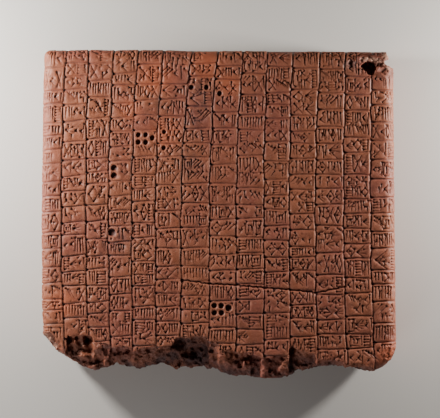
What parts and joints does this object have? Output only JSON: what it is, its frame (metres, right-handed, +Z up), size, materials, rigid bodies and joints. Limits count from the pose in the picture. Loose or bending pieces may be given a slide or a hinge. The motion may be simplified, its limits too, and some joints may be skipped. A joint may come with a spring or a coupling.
{
  "type": "cuneiform tablet",
  "caption": "Large square fired-clay tablet, written in ruled columns of small cases on its obverse and broken along its foot; it lies flat on its reverse.",
  "frame": {"origin": "on the ground under the middle of the tablet", "axes": "+X to the reader's right, +Y to the head of the text, +Z up out of the written face"},
  "size_m": [0.2391, 0.2206, 0.042],
  "materials": {
    "clay": "matt reddish-brown clay, worn, darker in the marks and on the break"
  },
  "bodies": {
    "root": {"clay_tablet": "clay"}
  },
  "joints": []
}
